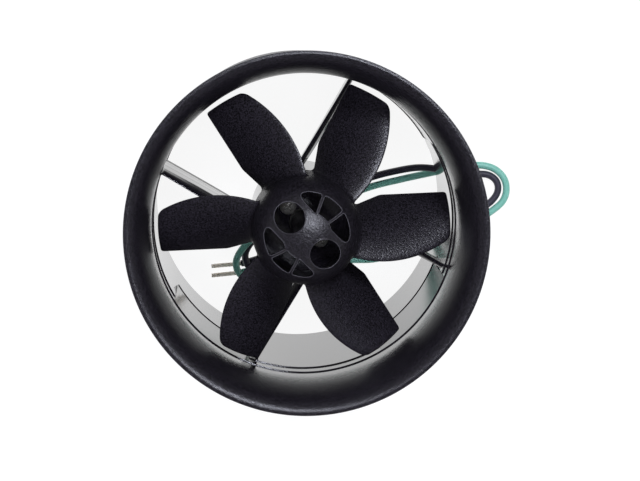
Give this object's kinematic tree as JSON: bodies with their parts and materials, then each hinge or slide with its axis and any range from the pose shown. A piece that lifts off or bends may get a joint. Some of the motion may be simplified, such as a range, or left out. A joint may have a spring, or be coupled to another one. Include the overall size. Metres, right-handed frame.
{
  "type": "ducted fan unit",
  "caption": "Electric ducted fan for a model jet: twisted-blade impeller on a brushed motor inside a bell-mouthed duct with straightening vanes and two motor leads.",
  "frame": {"origin": "centre of the duct's rear rim, on the surface that the rim stands on", "axes": "+Z along the fan axis towards the inlet, +X towards the notch where the leads pass under the rear rim"},
  "size_m": [0.0884, 0.0772, 0.0825],
  "materials": {
    "duct_plastic": "injection-moulded black ABS, fine matte grain on the lip, polished bore",
    "impeller_plastic": "injection-moulded black glass-filled nylon, satin",
    "steel": "plated",
    "bronze": "sintered",
    "ferrite": "ground ferrite or carbon",
    "copper": "bright",
    "nylon": "moulded nylon",
    "tin": "tinned",
    "green_pvc": "extruded soft PVC insulation",
    "black_pvc": "extruded soft PVC insulation"
  },
  "bodies": {
    "housing": {"inlet_ring": "duct_plastic", "rotor_shroud": "duct_plastic", "stator_housing": "duct_plastic", "motor_screws": "steel", "motor_can": "steel", "front_bush": "bronze", "field_magnets": "ferrite", "magnet_clip": "steel", "end_bell": "nylon", "rear_bush": "bronze", "brush_arms": "copper", "carbon_brushes": "ferrite", "terminals": "copper", "solder_joints": "tin", "green_lead": "green_pvc", "black_lead": "black_pvc", "green_lead_end": "tin", "black_lead_end": "tin"},
    "rotor": {"impeller": "impeller_plastic", "motor_shaft": "steel", "front_washer": "nylon", "armature_core": "steel", "armature_windings": "copper", "commutator_base": "nylon", "commutator_bars": "copper", "rear_washer": "nylon"}
  },
  "joints": [
    {"name": "rotor_spin", "type": "hinge", "parent": "housing", "child": "rotor", "pos_m": [0, 0, 0.055], "axis": [0, 0, -1], "continuous": true}
  ]
}
